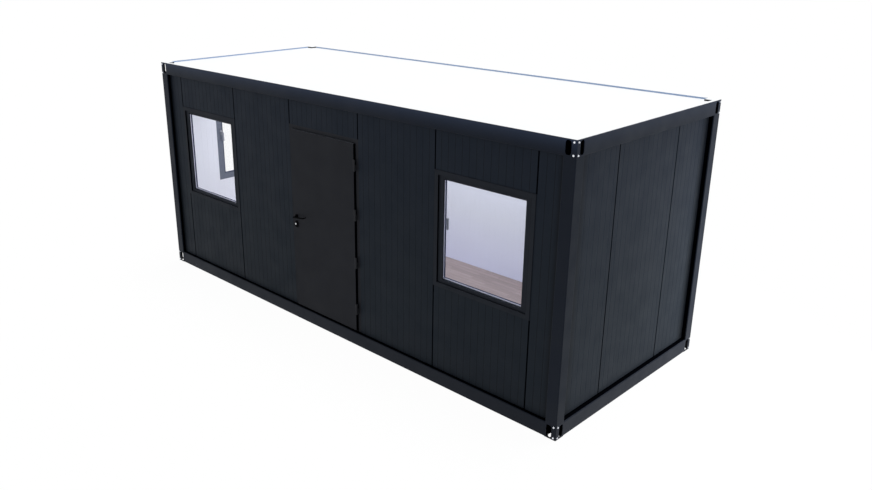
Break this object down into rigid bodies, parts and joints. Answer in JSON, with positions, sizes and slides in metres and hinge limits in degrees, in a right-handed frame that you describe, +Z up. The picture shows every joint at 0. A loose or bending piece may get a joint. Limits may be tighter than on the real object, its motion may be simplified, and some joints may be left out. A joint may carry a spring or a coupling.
{
  "type": "portable site cabin",
  "caption": "Flat-roofed portable site cabin with a steel frame, corner castings, ribbed dark panels, windows and an outward door.",
  "frame": {"origin": "on the ground under the middle of the cabin", "axes": "+X along the length to the plain end, +Y to the back, +Z up; the door faces -Y"},
  "size_m": [6, 2.433, 2.6],
  "materials": {
    "frame": "satin anthracite powder coat on steel",
    "wall_panel": "satin anthracite outside, white inside",
    "window_frame": "matte anthracite plastic",
    "glass": "clear double glazing",
    "window_handle": "pale grey lever",
    "roof_white": "white coated sheet",
    "ceiling": "white board",
    "floor_board": "raw floor board",
    "floor_laminate": "grey-brown wood-look covering",
    "joist_steel": "galvanized",
    "door_frame": "satin anthracite powder coat",
    "door": "satin anthracite powder coat",
    "hinge": "grey painted steel",
    "handle": "matte black",
    "lock": "satin nickel"
  },
  "bodies": {
    "cabin": {"base_front_rail": "frame", "base_back_rail": "frame", "base_left_rail": "frame", "base_right_rail": "frame", "roof_front_rail": "frame", "roof_back_rail": "frame", "roof_left_rail": "frame", "roof_right_rail": "frame", "front_left_post": "frame", "front_right_post": "frame", "back_left_post": "frame", "back_right_post": "frame", "base_corner_castings": "frame", "roof_corner_castings": "frame", "floor_joists": "joist_steel", "floor_deck": "floor_board", "floor_covering": "floor_laminate", "roof_sheet": "roof_white", "roof_trim": "roof_white", "ceiling_board": "ceiling", "front_corner_panels": "wall_panel", "front_plain_panels": "wall_panel", "front_window_upper_panels": "wall_panel", "front_window_lower_panels": "wall_panel", "over_door_panel": "wall_panel", "back_panels": "wall_panel", "left_side_panels": "wall_panel", "left_window_upper_panel": "wall_panel", "left_window_lower_panel": "wall_panel", "right_panels": "wall_panel", "front_left_window_frame": "window_frame", "front_right_window_frame": "window_frame", "left_end_window_frame": "window_frame", "front_left_window_sash": "window_frame", "front_right_window_sash": "window_frame", "left_end_window_sash": "window_frame", "window_glass": "glass", "window_handles": "window_handle", "door_frame": "door_frame", "hinge_frame_halves": "hinge"},
    "door": {"door_leaf": "door", "hinge_leaf_halves": "hinge", "handle_plates": "handle", "lock_cylinder": "lock"},
    "lever": {"door_lever": "handle"}
  },
  "joints": [
    {"name": "door_swing", "type": "hinge", "parent": "cabin", "child": "door", "pos_m": [0.5007, -1.185, 1.15], "axis": [0, 0, 1], "range_deg": [0, 165]},
    {"name": "lever_turn", "type": "hinge", "parent": "door", "child": "lever", "pos_m": [-0.4447, -1.16, 1.198], "axis": [0, 1, 0], "range_deg": [0, 45], "stiffness_Nm_per_rad": 1, "springref_deg": -34.38}
  ]
}
